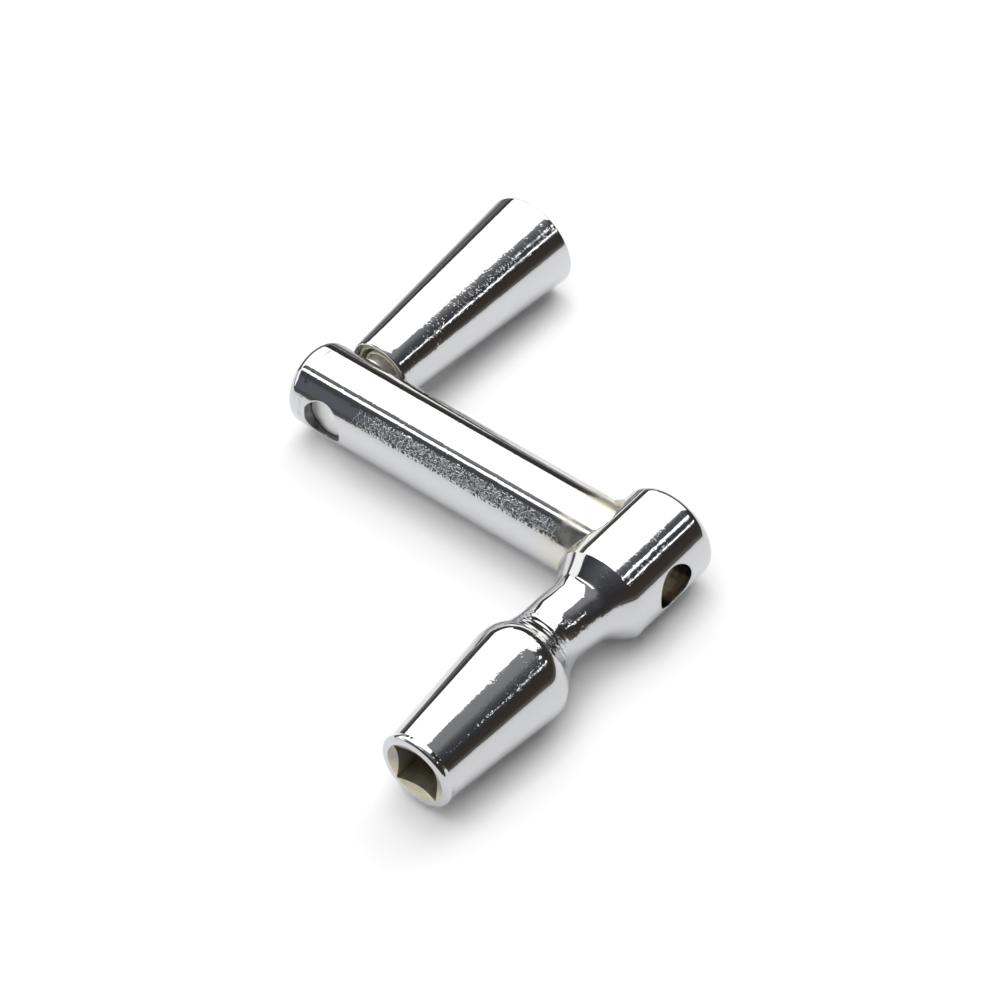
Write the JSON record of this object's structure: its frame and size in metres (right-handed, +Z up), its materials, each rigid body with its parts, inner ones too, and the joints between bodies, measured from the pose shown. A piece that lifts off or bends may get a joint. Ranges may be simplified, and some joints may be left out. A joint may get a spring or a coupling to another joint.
{
  "type": "crank drum key",
  "caption": "Crank key with a square-drive socket for tension rods, a round side arm and a free-spinning tapered handle.",
  "frame": {"origin": "on the table under the middle of the object's box, with the key lying on its side", "axes": "+X along the arm from the handle to the key body, +Y along the key and handle axes away from the socket's mouth, +Z up"},
  "size_m": [0.061, 0.0794, 0.0138],
  "materials": {
    "chrome": "bright chrome plate over a lightly pitted casting",
    "steel": "machined, unplated",
    "braze": "plated-over brazing filler, slightly rough",
    "bushing": "cream moulded bearing plastic"
  },
  "bodies": {
    "key": {"key_body": "chrome", "crank_arm": "chrome", "braze_seam": "braze", "axle_pin": "steel", "thrust_washer": "steel", "retaining_clip": "steel"},
    "grip": {"grip_sleeve": "chrome", "front_bush": "bushing", "rear_bush": "bushing", "end_cap": "chrome"}
  },
  "joints": [
    {"name": "grip_spin", "type": "hinge", "parent": "key", "child": "grip", "pos_m": [-0.02357, 0.00845, 0.0069], "axis": [0, 1, 0], "continuous": true}
  ]
}
